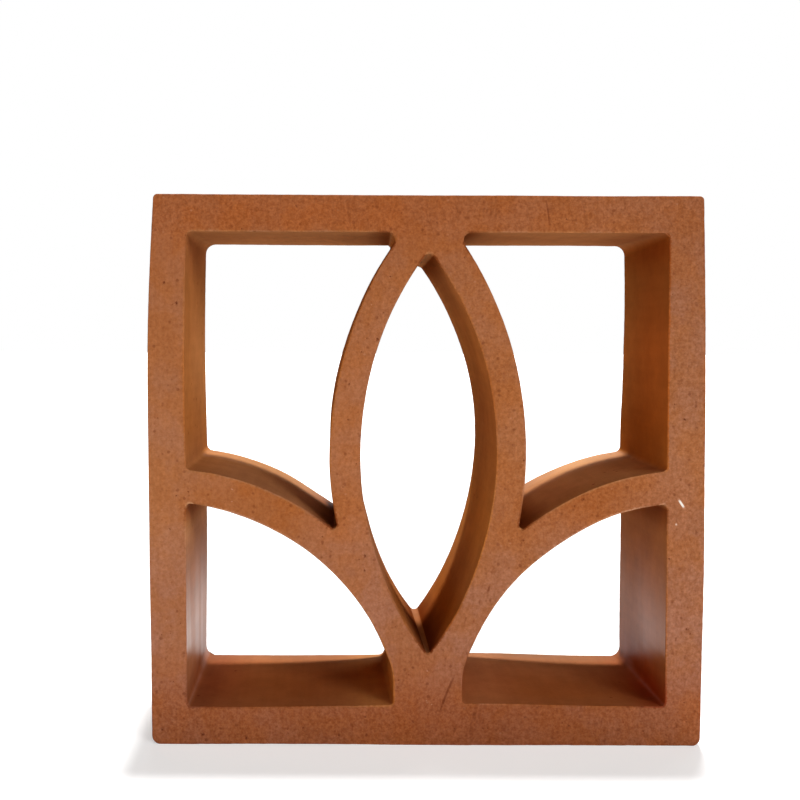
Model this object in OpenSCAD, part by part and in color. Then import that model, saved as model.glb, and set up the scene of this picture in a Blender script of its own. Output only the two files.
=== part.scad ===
// Breeze block: a square fired-clay screen block, pierced by a leaf and two petals.
// One extruded piece. X is the width, Y the depth (front face at -Y), Z the height.
// The origin is at the middle of the bottom bed face.

/* [Block] */
// Width of the block across its corners
block_w = 200; // [160:1:280]
// Height of the block, bed face to bed face
block_h = 200; // [160:1:280]
// Depth of the block, front face to back face
block_d = 60; // [30:1:120]
// How far the left side bows outward at half height
left_bow = 1.8; // [0.6:0.1:4]
// How far the right side bows outward at half height
right_bow = 1.1; // [0.6:0.1:4]

/* [Frame] */
// Thickness of the side walls at the corners
side_wall = 12.8; // [9:0.1:18]
// Thickness of the top bar
top_bar = 13.5; // [9:0.1:18]
// Thickness of the bottom bar
bottom_bar = 14.4; // [9:0.1:18]

/* [Leaf] */
// Width of the leaf-shaped opening at its middle
leaf_w = 49.5; // [36:0.1:64]
// Clay between the leaf's upper point and the top bar
leaf_top_gap = 6.2; // [4:0.1:12]
// Clay between the leaf's lower point and the bottom bar
leaf_bottom_gap = 18.2; // [14:0.1:26]
// Thickness of the leaf's ribs at their middle
leaf_rib = 10.9; // [7:0.1:15]
// Distance between the two ribs' outer edges where they meet the top bar
neck_w = 20; // [12:0.1:26]

/* [Petals] */
// Width of the stem between the two lower openings
stem_w = 24.6; // [18:0.1:34]
// Thickness of the petals' ribs
petal_rib = 12; // [8:0.1:16]
// Distance from a side of the block in to its petal's centre
petal_centre_in = 2.7; // [0:0.1:8]
// Distance from the bed face down to the petals' centres
petal_centre_drop = 1.2; // [0:0.1:4]
// How far a petal's lower circle would run past the side of the stem
stem_overrun = 4.6; // [3:0.1:7]

/* [Edges] */
// Radius of the openings' corners at the frame
frame_fillet = 3; // [1:0.1:4]
// Radius of the openings' corners at the ribs
rib_fillet = 2; // [1:0.1:3]
// Radius of the leaf's upper point
leaf_top_fillet = 2.2; // [1:0.1:4]
// Radius of the leaf's lower point
leaf_bottom_fillet = 1.2; // [1:0.1:4]
// Radius of the bend where a petal runs down into the stem
stem_bend = 25; // [10:1:30]
// Radius of the block's two upper corners
upper_corner = 1.5; // [1.2:0.1:6]
// Radius of the block's two lower corners
lower_corner = 3; // [1.2:0.1:6]
// Bevel left by wear along every edge of the front and back faces
arris = 0.4; // [0.2:0.1:1]

/* [Hidden] */
$fn = 96;
// Facets of the long arcs
arc_fn = 256;
// Facets of the very flat bows
bow_fn = 1440;
// Past a face, so that a cut goes clean through
past = 0.1;
// A fillet's circle runs this much past its walls, so that it cuts them
ease = 0.01;
// How far a corner's waste reaches past the corner
waste = 2;

half_w = block_w / 2;
half_d = block_d / 2;
half_h = block_h / 2;
wall_x = half_w - side_wall;
ceiling_z = block_h - top_bar;

// A side's circle passes through both of its corners and bows out between them
function bow_r(bow) = (pow(half_h, 2) + pow(bow, 2)) / (2 * bow);
left_bow_r = bow_r(left_bow);
right_bow_r = bow_r(right_bow);
left_bow_c = [left_bow_r - left_bow - half_w, half_h];
right_bow_c = [half_w + right_bow - right_bow_r, half_h];

// The leaf is where two equal circles overlap, one centred on each side
leaf_top_z = ceiling_z - leaf_top_gap;
leaf_bottom_z = bottom_bar + leaf_bottom_gap;
leaf_mid_z = (leaf_top_z + leaf_bottom_z) / 2;
leaf_r = (pow(leaf_top_z - leaf_mid_z, 2) + pow(leaf_w / 2, 2)) / leaf_w;
leaf_x = leaf_r - leaf_w / 2;

// A rib's outer edge passes the rib's middle upright and reaches the top bar at the neck
rib_x = leaf_w / 2 + leaf_rib;
rib_rise = ceiling_z - leaf_mid_z;
rib_run = rib_x - neck_w / 2;
rib_r = (pow(rib_rise, 2) + pow(rib_run, 2)) / (2 * rib_run);
rib_c = [rib_r - rib_x, leaf_mid_z];

// A petal is the ring between two circles centred near a lower corner of the block
stem_x = stem_w / 2;
petal_c = [petal_centre_in - half_w, -petal_centre_drop];
petal_in_r = stem_overrun - stem_x - petal_c.x;
petal_out_r = petal_in_r + petal_rib;

// Unit vector at an angle in the X-Z plane, and the angle of a vector
function toward(angle) = [cos(angle), sin(angle)];
function bearing(v) = atan2(v.y, v.x);
// Point at height z on the right or at width x on the top of a circle about c
function at_height(c, r, z) = [c.x + sqrt(pow(r, 2) - pow(z - c.y, 2)), z];
function at_width(c, r, x) = [x, c.y + sqrt(pow(r, 2) - pow(x - c.x, 2))];
// Upper crossing of two circles, the first of which lies to the left
function crossing(c1, r1, c2, r2) =
    let (
        gap = norm(c2 - c1),
        along = (pow(gap, 2) + pow(r1, 2) - pow(r2, 2)) / (2 * gap),
        up = sqrt(pow(r1, 2) - pow(along, 2)),
        u = (c2 - c1) / gap
    )
    c1 + along * u + up * [-u.y, u.x];

// Inside of a circle, with the radius larger by the spread of the slice
module disc(c, r) {
    translate([c.x, $from, c.y])
        rotate([-90, 0, 0])
        cylinder(h = $to - $from, r1 = r + $spread_from, r2 = r + $spread_to);
}

// Outside of a circle: the spread of the slice makes the disc smaller
module solid_disc(c, r) {
    translate([c.x, $from - past, c.y])
        rotate([-90, 0, 0])
        cylinder(
            h = $to - $from + 2 * past,
            r1 = r - $spread_from + past * $slope,
            r2 = r - $spread_to - past * $slope
        );
}

// Rectangle whose sides named in grow move out with the spread of the slice
module panel(x0, z0, x1, z1, grow) {
    g0 = $spread_from;
    g1 = $spread_to;
    intersection() {
        translate([0, 0, z0 - block_h])
            linear_extrude(z1 - z0 + 2 * block_h)
            polygon([
                [x0 - grow[0] * g0, $from],
                [x1 + grow[2] * g0, $from],
                [x1 + grow[2] * g1, $to],
                [x0 - grow[0] * g1, $to]
            ]);
        translate([x0 - block_w, 0, 0])
            rotate([90, 0, 90])
            linear_extrude(x1 - x0 + 2 * block_w)
            polygon([
                [$from, z0 - grow[1] * g0],
                [$from, z1 + grow[3] * g0],
                [$to, z1 + grow[3] * g1],
                [$to, z0 - grow[1] * g1]
            ]);
    }
}

// Waste outside a corner's fillet: c is the fillet's centre, a0 and a1 face its two walls
module corner(c, r, a0, a1) {
    middle = (a0 + a1) / 2;
    reach = r + waste;
    tip = r / cos((a1 - a0) / 2) + waste;
    difference() {
        translate([0, $to + past, 0])
            rotate([90, 0, 0])
            linear_extrude($to - $from + 2 * past)
            polygon([c, c + reach * toward(a0), c + tip * toward(middle), c + reach * toward(a1)]);
        translate([c.x, $from - 2 * past, c.y])
            rotate([-90, 0, 0])
            cylinder(
                h = $to - $from + 4 * past,
                r1 = r + ease + $spread_from - 2 * past * $slope,
                r2 = r + ease + $spread_to + 2 * past * $slope
            );
    }
}

// Outline of the block
module outline() {
    difference() {
        intersection() {
            panel(-half_w - left_bow, 0, half_w + right_bow, block_h, [1, 1, 1, 1]);
            disc(left_bow_c, left_bow_r, $fn = bow_fn);
            disc(right_bow_c, right_bow_r, $fn = bow_fn);
        }
        outline_corners(right_bow_c, right_bow_r);
        mirror([1, 0, 0])
            outline_corners([-left_bow_c.x, left_bow_c.y], left_bow_r);
    }
}

// The upper and lower corner on a side of the outline that bows out to the right
module outline_corners(bow_c, r) {
    top = at_height(bow_c, r - upper_corner, block_h - upper_corner);
    foot = at_height(bow_c, r - lower_corner, lower_corner);
    corner(top, upper_corner, bearing(top - bow_c), 90);
    corner(foot, lower_corner, -90, bearing(foot - bow_c));
}

// Height of the centre of a leaf point's fillet over the leaf's middle
function tip_rise(r) = sqrt(pow(leaf_r - r, 2) - pow(leaf_x, 2));

// The leaf-shaped opening
module leaf() {
    top_rise = tip_rise(leaf_top_fillet);
    bottom_drop = tip_rise(leaf_bottom_fillet);
    top_lean = atan2(top_rise, leaf_x);
    bottom_lean = atan2(bottom_drop, leaf_x);
    difference() {
        intersection() {
            disc([-leaf_x, leaf_mid_z], leaf_r, $fn = arc_fn);
            disc([leaf_x, leaf_mid_z], leaf_r, $fn = arc_fn);
        }
        corner([0, leaf_mid_z + top_rise], leaf_top_fillet, top_lean, 180 - top_lean);
        corner([0, leaf_mid_z - bottom_drop], leaf_bottom_fillet, 180 + bottom_lean, 360 - bottom_lean);
    }
}

// The opening at the upper left, between the frame, the rib and the petal
module upper_opening() {
    low = crossing(petal_c, petal_out_r, rib_c, rib_r);
    a = [frame_fillet - wall_x, ceiling_z - frame_fillet];
    b = [
        rib_c.x - sqrt(pow(rib_r + rib_fillet, 2) - pow(ceiling_z - rib_fillet - rib_c.y, 2)),
        ceiling_z - rib_fillet
    ];
    c = crossing(petal_c, petal_out_r + rib_fillet, rib_c, rib_r + rib_fillet);
    d = at_width(petal_c, petal_out_r + rib_fillet, rib_fillet - wall_x);
    difference() {
        panel(-wall_x, low.y - past, 0, ceiling_z, [1, 0, 0, 1]);
        solid_disc(rib_c, rib_r, $fn = arc_fn);
        solid_disc(petal_c, petal_out_r, $fn = arc_fn);
        corner(a, frame_fillet, 90, 180);
        corner(b, rib_fillet, bearing(rib_c - b), 90);
        corner(c, rib_fillet, bearing(petal_c - c), bearing(rib_c - c));
        corner(d, rib_fillet, 180, 360 + bearing(petal_c - d));
    }
}

// The opening at the lower left, under the petal
module lower_opening() {
    a = [frame_fillet - wall_x, bottom_bar + frame_fillet];
    b = [-stem_x - rib_fillet, bottom_bar + rib_fillet];
    c = at_width(petal_c, petal_in_r - stem_bend, -stem_x - stem_bend);
    d = at_width(petal_c, petal_in_r - rib_fillet, rib_fillet - wall_x);
    difference() {
        intersection() {
            panel(-wall_x, bottom_bar, -stem_x, block_h, [1, 1, 1, 0]);
            disc(petal_c, petal_in_r, $fn = arc_fn);
        }
        corner(a, frame_fillet, 180, 270);
        corner(b, rib_fillet, 270, 360);
        corner(c, stem_bend, 0, bearing(c - petal_c));
        corner(d, rib_fillet, bearing(d - petal_c), 180);
    }
}

// All five openings
module openings() {
    leaf();
    upper_opening();
    lower_opening();
    mirror([1, 0, 0]) upper_opening();
    mirror([1, 0, 0]) lower_opening();
}

// A slice of its children between two depths, spreading evenly from one to the other
module slice(from, to, spread_from, spread_to) {
    $from = from;
    $to = to;
    $spread_from = spread_from;
    $spread_to = spread_to;
    $slope = (spread_to - spread_from) / (to - from);
    children();
}

// What the front edges lose: the openings flare out and the outline draws in
module front_bevels() {
    slice(-half_d - past, -half_d + arris + past, arris + past, -past)
        openings();
    difference() {
        translate([-block_w, -half_d - past / 2, -half_h])
            cube([2 * block_w, arris + past, 2 * block_h]);
        slice(-half_d - past, -half_d + arris + past, -arris - past, past)
            outline();
    }
}

module block() {
    color("#a3603a")
        difference() {
            slice(-half_d, half_d, 0, 0)
                outline();
            slice(-half_d - past, half_d + past, 0, 0)
                openings();
            front_bevels();
            mirror([0, 1, 0]) front_bevels();
        }
}

block();
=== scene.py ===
"""A square fired-clay screen block, pierced by a leaf and two petals, in a small white studio.

X is the width, Y the depth with the cut front face at -Y, and Z the height. The origin is at the
middle of the bottom bed face. The drawing of the block uses pairs (x, z) seen from the front.
"""

import math

import bpy
import numpy as np
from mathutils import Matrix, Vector
from mathutils.geometry import delaunay_2d_cdt


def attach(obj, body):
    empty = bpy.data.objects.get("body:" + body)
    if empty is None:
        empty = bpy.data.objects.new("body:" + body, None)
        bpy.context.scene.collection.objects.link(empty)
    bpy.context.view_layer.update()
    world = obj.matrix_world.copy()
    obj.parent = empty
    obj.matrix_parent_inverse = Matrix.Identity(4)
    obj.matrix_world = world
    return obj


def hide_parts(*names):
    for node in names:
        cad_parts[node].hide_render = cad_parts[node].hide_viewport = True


bl_info = {
    "name": "Clay Leaf Block",
    "version": (1, 0, 0),
    "blender": (4, 5, 0),
    "location": "3D View > Sidebar > Clay Block",
    "description": "Builds a fired-clay screen block with a leaf pattern, and a white studio for it",
    "category": "Add Mesh",
}

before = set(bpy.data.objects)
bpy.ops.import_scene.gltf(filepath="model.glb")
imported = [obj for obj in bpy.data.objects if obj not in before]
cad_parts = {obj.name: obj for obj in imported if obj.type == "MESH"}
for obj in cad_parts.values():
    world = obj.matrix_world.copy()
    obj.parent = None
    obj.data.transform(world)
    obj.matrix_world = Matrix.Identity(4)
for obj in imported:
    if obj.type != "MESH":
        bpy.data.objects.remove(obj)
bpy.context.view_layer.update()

MM = 0.001
BATCH = 4096  # points that are compared with all of the lines at a time
PIECE = "clay_block"
CAD_NODE = "block"
BODY = "root"


def length(name, description, millimetres):
    """A property that holds a length, with its default given in millimetres."""
    return bpy.props.FloatProperty(
        name=name, description=description, default=millimetres * MM, min=0.0,
        precision=5, subtype="DISTANCE", unit="LENGTH",
    )


def share(name, description, default, top=1.0):
    """A property that holds a plain number from 0 up to top."""
    return bpy.props.FloatProperty(
        name=name, description=description, default=default, min=0.0, max=top,
    )


def number(name, description, default, unit="NONE"):
    """A property that holds any number, with its unit."""
    return bpy.props.FloatProperty(
        name=name, description=description, default=default, precision=4, unit=unit,
    )


def whole_number(name, description, default):
    """A property that holds a whole number from 0 up."""
    return bpy.props.IntProperty(name=name, description=description, default=default, min=0)


def fillet_shares(face, *shares):
    """A property that holds what parts of their usual radii the fillets have at one face: in the
    corners at the walls, where the ribs meet the top bar, in the forks and in the leaf's points."""
    return bpy.props.FloatVectorProperty(
        name=face + " fillets", default=shares, size=4, min=0.1,
        description="Shares of the radii of corners, ribs, forks and points at the " + face.lower(),
    )


def colour(name, description, red, green, blue):
    """A property that holds a colour, with its default given as 0 to 255 display values."""
    display = np.array([red, green, blue]) / 255.0
    linear = np.where(display <= 0.04045, display / 12.92, ((display + 0.055) / 1.055) ** 2.4)
    return bpy.props.FloatVectorProperty(
        name=name, description=description, default=tuple(linear), size=3, min=0.0, max=1.0,
        subtype="COLOR",
    )


class BlockSizes(bpy.types.PropertyGroup):
    """Driving dimensions of the block, the same as the solid's."""

    width: length("Width", "Width of the block across its corners", 200.0)
    height: length("Height", "Height of the block, bed face to bed face", 200.0)
    depth: length("Depth", "Depth of the block, front face to back face", 60.0)
    left_bow: length("Left bow", "How far the left side bows outward at half height", 1.8)
    right_bow: length("Right bow", "How far the right side bows outward at half height", 1.1)
    side_wall: length("Side wall", "Thickness of the side walls at the corners", 12.8)
    top_bar: length("Top bar", "Thickness of the top bar", 13.5)
    bottom_bar: length("Bottom bar", "Thickness of the bottom bar", 14.4)
    leaf_width: length("Leaf width", "Width of the leaf-shaped opening at its middle", 49.5)
    leaf_top_gap: length("Leaf top gap", "Clay between the leaf's upper point and the top bar", 6.2)
    leaf_foot_gap: length("Leaf foot gap", "Clay between the leaf's foot and the bottom bar", 18.2)
    leaf_rib: length("Leaf rib", "Thickness of the leaf's ribs at their middle", 10.9)
    neck: length("Neck", "Distance between the ribs' outer edges at the top bar", 20.0)
    stem: length("Stem", "Width of the stem between the two lower openings", 24.6)
    petal_rib: length("Petal rib", "Thickness of the petals' ribs", 12.0)
    petal_in: length("Petal centre in", "Distance from a side in to its petal's centre", 2.7)
    petal_drop: length("Petal centre drop", "Distance from the bed down to the petals' centres", 1.2)
    stem_overrun: length("Stem overrun", "Reach of a petal's lower circle past the stem's side", 4.6)
    frame_fillet: length("Frame fillet", "Radius of the openings' corners at the frame", 3.0)
    rib_fillet: length("Rib fillet", "Radius of the openings' corners at the ribs", 2.0)
    leaf_top_fillet: length("Leaf top fillet", "Radius of the leaf's upper point", 2.2)
    leaf_foot_fillet: length("Leaf foot fillet", "Radius of the leaf's lower point", 1.2)
    stem_bend: length("Stem bend", "Radius of the bend where a petal runs down into the stem", 25.0)
    upper_corner: length("Upper corner", "Radius of the block's two upper corners", 1.5)
    lower_corner: length("Lower corner", "Radius of the block's two lower corners", 3.0)


class ClaySurface(bpy.types.PropertyGroup):
    """What the die, the cutting wire and the firing leave on the clay."""

    arris: length("Arris", "Usual rounding of the edges of the two cut faces", 0.25)
    nibble: length("Nibble", "How much more the cut edges are rounded where they crumbled", 0.14)
    front_fillets: fillet_shares("Front", 0.6, 1.4, 0.6, 0.95)
    back_fillets: fillet_shares("Back", 1.35, 0.55, 0.3, 1.5)
    grain: length("Grain", "Height of the torn grain on the cut faces", 0.035)
    sweep: length("Sweep", "Height of the drag lines that the cutting wire left", 0.03)
    die_lines: length("Die lines", "Height of the lines that the die drew along the walls", 0.03)
    sag: length("Sag", "Slow waviness of the walls", 0.16)
    front_pitch: length("Front pitch", "Spacing of the points on the front face", 0.72)
    back_pitch: length("Back pitch", "Spacing of the points on the back face", 1.2)
    edge_pitch: length("Edge pitch", "Spacing of the points along the edges", 0.85)
    front_pits: whole_number("Front pits", "Pits and pale grains on the front", 75)
    back_pits: whole_number("Back pits", "Pits and pale grains on the back", 110)
    seed: whole_number("Seed", "Start of the random draws", 11)


class ClayColours(bpy.types.PropertyGroup):
    """Colours of the fired clay, from the bottom bed up."""

    foot: colour("Foot", "Clay along the bottom bar", 161, 94, 59)
    low: colour("Low", "Clay a little above the bottom bar", 165, 106, 75)
    middle: colour("Middle", "Clay at half height", 166, 106, 69)
    high: colour("High", "Clay under the top bar", 161, 99, 61)
    crown: colour("Crown", "Clay along the top bar", 155, 90, 51)
    pit: colour("Pit", "Bottom of the pits", 104, 46, 22)
    grain: colour("Light grain", "Pale grains in the clay", 190, 132, 98)
    lime: colour("Lime", "Burst specks of lime", 244, 236, 226)
    bloom: share("Bloom", "How strongly the smooth lower walls shine", 0.9)


class StudioSettings(bpy.types.PropertyGroup):
    """The camera, the lamps and the paper."""

    camera_x: number("Camera X", "Camera's place across", -0.0366, "LENGTH")
    camera_y: number("Camera Y", "Camera's place in depth", -0.4178, "LENGTH")
    camera_z: number("Camera Z", "Camera's height", 0.1515, "LENGTH")
    roll: number("Roll", "Camera's lean", -0.0044, "ROTATION")
    lens: number("Lens", "Focal length on a 36 mm sensor", 48.0, "CAMERA")
    shift_x: number("Shift X", "Sideways shift of the lens", 0.09)
    shift_y: number("Shift Y", "Upright shift of the lens", -0.09)
    key: share("Key", "Light of the lamp overhead, where 1 renders white as white", 1.3, 4.0)
    right: share("Right", "Light of the broad lamps at the right, together", 0.73, 4.0)
    left: share("Left", "Light of the broad lamp at the front left", 0.13, 4.0)
    above: share("Above", "Light of the two broad lamps overhead, together", 0.2, 4.0)
    paper: share("Paper", "How pale the floor is", 0.63)


def bearing(vector):
    """Angle of a vector (x, z) in degrees, counted from +X towards +Z."""
    return math.degrees(math.atan2(vector[1], vector[0]))


def pair(x, z):
    """A point of the drawing."""
    return np.array([x, z], float)


def over(centre, radius, x):
    """Point at width x on the top of a circle."""
    return pair(x, centre[1] + math.sqrt(radius**2 - (x - centre[0]) ** 2))


def crossing(first, first_radius, second, second_radius):
    """Upper crossing of two circles, the first of which lies to the left."""
    gap = np.linalg.norm(second - first)
    along = (gap**2 + first_radius**2 - second_radius**2) / (2 * gap)
    up = math.sqrt(first_radius**2 - along**2)
    unit = (second - first) / gap
    return first + along * unit + up * pair(-unit[1], unit[0])


class Drawing:
    """The closed lines of the block's front view, as arcs joined by straight runs."""

    TURN = 0.3  # most that an arc turns between two points, in radians

    def __init__(self, sizes, pitch, corners=1.0, ribs=1.0, forks=1.0, points=1.0, like=None):
        """Shares of their usual radius that the fillets have here: in the corners at the walls,
        where the leaf's ribs meet the top bar, where they fork from the petals, and in the leaf's
        points. A drawing that is like another one puts as many points on each arc and straight
        run as the other did, so that the two can be joined."""
        self.s = sizes
        self.pitch = pitch
        self.taken = []
        self.given = iter(like.taken) if like else None
        s = sizes
        self.frame_r, self.wall_r = s.frame_fillet * corners, s.rib_fillet * corners
        self.rib_fillet, self.fork_r = s.rib_fillet * ribs, s.rib_fillet * forks
        self.top_r, self.foot_r = s.leaf_top_fillet * points, s.leaf_foot_fillet * points
        self.half_w = s.width / 2
        self.wall_x = self.half_w - s.side_wall
        self.ceiling = s.height - s.top_bar
        self.leaf_top = self.ceiling - s.leaf_top_gap
        self.leaf_foot = s.bottom_bar + s.leaf_foot_gap
        self.leaf_mid = (self.leaf_top + self.leaf_foot) / 2
        half_leaf = s.leaf_width / 2
        self.leaf_r = ((self.leaf_top - self.leaf_mid) ** 2 + half_leaf**2) / s.leaf_width
        self.leaf_x = self.leaf_r - half_leaf
        rib_x = half_leaf + s.leaf_rib
        rise = self.ceiling - self.leaf_mid
        reach = rib_x - s.neck / 2
        self.rib_r = (rise**2 + reach**2) / (2 * reach)
        self.rib_c = pair(self.rib_r - rib_x, self.leaf_mid)
        self.stem_x = s.stem / 2
        self.petal_c = pair(s.petal_in - self.half_w, -s.petal_drop)
        self.petal_in_r = s.stem_overrun - self.stem_x - self.petal_c[0]
        self.petal_out_r = self.petal_in_r + s.petal_rib

    def steps(self, natural):
        """How many steps the next arc or run takes: its own number, or the other drawing's."""
        count = next(self.given) if self.given else natural
        self.taken.append(count)
        return count

    def arc(self, centre, radius, start, end):
        """Points of a circle, centre + radius (cos a, sin a), with a in even steps of degrees."""
        step = min(self.pitch, radius * self.TURN)
        count = self.steps(max(2, math.ceil(abs(math.radians(end - start)) * radius / step)))
        angle = np.radians(np.linspace(start, end, count + 1))
        return np.asarray(centre) + radius * np.stack([np.cos(angle), np.sin(angle)], 1)

    def close(self, *arcs):
        """Joins arcs end to end into one closed line, with even points on the straight runs."""
        stretches = []
        for this, following in zip(arcs, arcs[1:] + arcs[:1]):
            gap = np.linalg.norm(following[0] - this[-1])
            count = self.steps(max(1, round(gap / self.pitch)))
            run = np.linspace(0, 1, count + 1)[1:-1, None]
            stretches += [this, this[-1] + run * (following[0] - this[-1])]
        line = np.concatenate(stretches)
        apart = np.linalg.norm(line - np.roll(line, 1, 0), axis=1) > self.pitch / 50
        return line[apart]

    @staticmethod
    def mirrored(line):
        """The same line on the other side of x = 0, still running the same way round."""
        return line[::-1] * pair(-1, 1)

    def side(self, bow):
        """A side that bows out to the right, foot to top: foot corner, flat circle, top corner."""
        s = self.s
        half_h = s.height / 2
        radius = (half_h**2 + bow**2) / (2 * bow)
        centre = pair(self.half_w + bow - radius, half_h)

        def corner(size, z):
            return pair(centre[0] + math.sqrt((radius - size) ** 2 - (z - half_h) ** 2), z)

        foot = corner(s.lower_corner, s.lower_corner)
        top = corner(s.upper_corner, s.height - s.upper_corner)
        low, high = bearing(foot - centre), bearing(top - centre)
        arcs = (
            self.arc(foot, s.lower_corner, -90, low),
            self.arc(centre, radius, low, high),
            self.arc(top, s.upper_corner, high, 90),
        )
        return np.concatenate([a[:-1] for a in arcs[:-1]] + [arcs[-1]])

    def outline(self):
        """Outside of the block."""
        return self.close(self.side(self.s.right_bow), self.mirrored(self.side(self.s.left_bow)))

    def leaf(self):
        """The leaf: where two equal circles overlap, with rounded points."""
        (rise, top), (drop, foot) = self.tip(self.top_r), self.tip(self.foot_r)
        return self.close(
            self.arc(pair(-self.leaf_x, self.leaf_mid), self.leaf_r, -foot, top),
            self.arc(pair(0, self.leaf_mid + rise), self.top_r, top, 180 - top),
            self.arc(pair(self.leaf_x, self.leaf_mid), self.leaf_r, 180 - top, 180 + foot),
            self.arc(pair(0, self.leaf_mid - drop), self.foot_r, 180 + foot, 360 - foot),
        )

    def tip(self, radius):
        """How far the centre of a fillet in the leaf's point stands from the leaf's middle, and the
        bearing from a side's centre at which the fillet begins."""
        rise = math.sqrt((self.leaf_r - radius) ** 2 - self.leaf_x**2)
        return rise, math.degrees(math.atan2(rise, self.leaf_x))

    def upper_opening(self):
        """The upper left opening: top bar, wall, petal's back and leaf rib's outer edge."""
        wide, small, rib, fork = self.frame_r, self.wall_r, self.rib_fillet, self.fork_r
        a = pair(wide - self.wall_x, self.ceiling - wide)
        rise = self.ceiling - rib - self.rib_c[1]
        b = pair(self.rib_c[0] - math.sqrt((self.rib_r + rib) ** 2 - rise**2), self.ceiling - rib)
        c = crossing(self.petal_c, self.petal_out_r + fork, self.rib_c, self.rib_r + fork)
        d = over(self.petal_c, self.petal_out_r + small, small - self.wall_x)
        from_d, to_c = bearing(d - self.petal_c), bearing(c - self.petal_c)
        return self.close(
            self.arc(a, wide, 90, 180),
            self.arc(d, small, 180, 360 + bearing(self.petal_c - d)),
            self.arc(self.petal_c, self.petal_out_r, from_d, to_c),
            self.arc(c, fork, bearing(self.petal_c - c), bearing(self.rib_c - c)),
            self.arc(self.rib_c, self.rib_r, bearing(c - self.rib_c) % 360, bearing(b - self.rib_c)),
            self.arc(b, rib, bearing(self.rib_c - b), 90),
        )

    def lower_opening(self):
        """The lower left opening: bottom bar, stem, petal's inner edge and wall."""
        s, wide, small, bend = self.s, self.frame_r, self.wall_r, self.s.stem_bend
        a = pair(wide - self.wall_x, s.bottom_bar + wide)
        b = pair(-self.stem_x - small, s.bottom_bar + small)
        c = over(self.petal_c, self.petal_in_r - bend, -self.stem_x - bend)
        d = over(self.petal_c, self.petal_in_r - small, small - self.wall_x)
        from_c, from_d = bearing(c - self.petal_c), bearing(d - self.petal_c)
        return self.close(
            self.arc(a, wide, 180, 270),
            self.arc(b, small, 270, 360),
            self.arc(c, bend, 0, from_c),
            self.arc(self.petal_c, self.petal_in_r, from_c, from_d),
            self.arc(d, small, from_d, 180),
        )

    def lines(self):
        """The outline and the five openings, and for each whether it is an opening and whether it
        is one of the two under the petals."""
        upper, lower = self.upper_opening(), self.lower_opening()
        return [
            (self.outline(), False, False),
            (self.leaf(), True, False),
            (upper, True, False),
            (self.mirrored(upper), True, False),
            (lower, True, True),
            (self.mirrored(lower), True, True),
        ]


def scatter(cells, seed):
    """A fixed number from -1 to 1 for each whole-number cell: its coordinates, mixed bit by bit."""
    spread = np.uint64(0x9E3779B97F4A7C15)  # an odd number that carries low bits far up
    mixed = np.full(cells.shape[:-1], seed * 7919 + 17, np.uint64)
    for axis in range(cells.shape[-1]):
        whole = (cells[..., axis].astype(np.int64) + 2**31).astype(np.uint64)
        mixed = (mixed ^ whole) * spread
        mixed ^= mixed >> np.uint64(29)
    return (mixed >> np.uint64(11)).astype(float) / 2.0**52 - 1.0


def noise(points, wavelength, seed):
    """Smooth noise from -1 to 1: random values at the corners of a grid of that wavelength,
    blended in between with 3t^2 - 2t^3. wavelength is one number, or one for each axis."""
    scaled = np.atleast_2d(points) / wavelength
    cell = np.floor(scaled)
    t = scaled - cell
    blend = t * t * (3 - 2 * t)
    total = np.zeros(len(scaled))
    axes = scaled.shape[1]
    for corner in range(2**axes):
        step = np.array([(corner >> axis) & 1 for axis in range(axes)])
        weight = np.prod(np.where(step, blend, 1 - blend), axis=1)
        total += weight * scatter(cell + step, seed)
    return total


def smooth(low, high, value):
    """0 below low, 1 above high, and 3t^2 - 2t^3 in between."""
    t = np.clip((value - low) / (high - low), 0, 1)
    return t * t * (3 - 2 * t)


def outward(line, void):
    """Unit normals of a closed counterclockwise line, pointing out of the clay: to the left of the
    run for an opening, whose inside is air, and to its right for the outline."""
    run = np.roll(line, -1, 0) - np.roll(line, 1, 0)
    run /= np.linalg.norm(run, axis=1)[:, None]
    side = 1 if void else -1
    return side * np.stack([-run[:, 1], run[:, 0]], 1)


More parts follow.
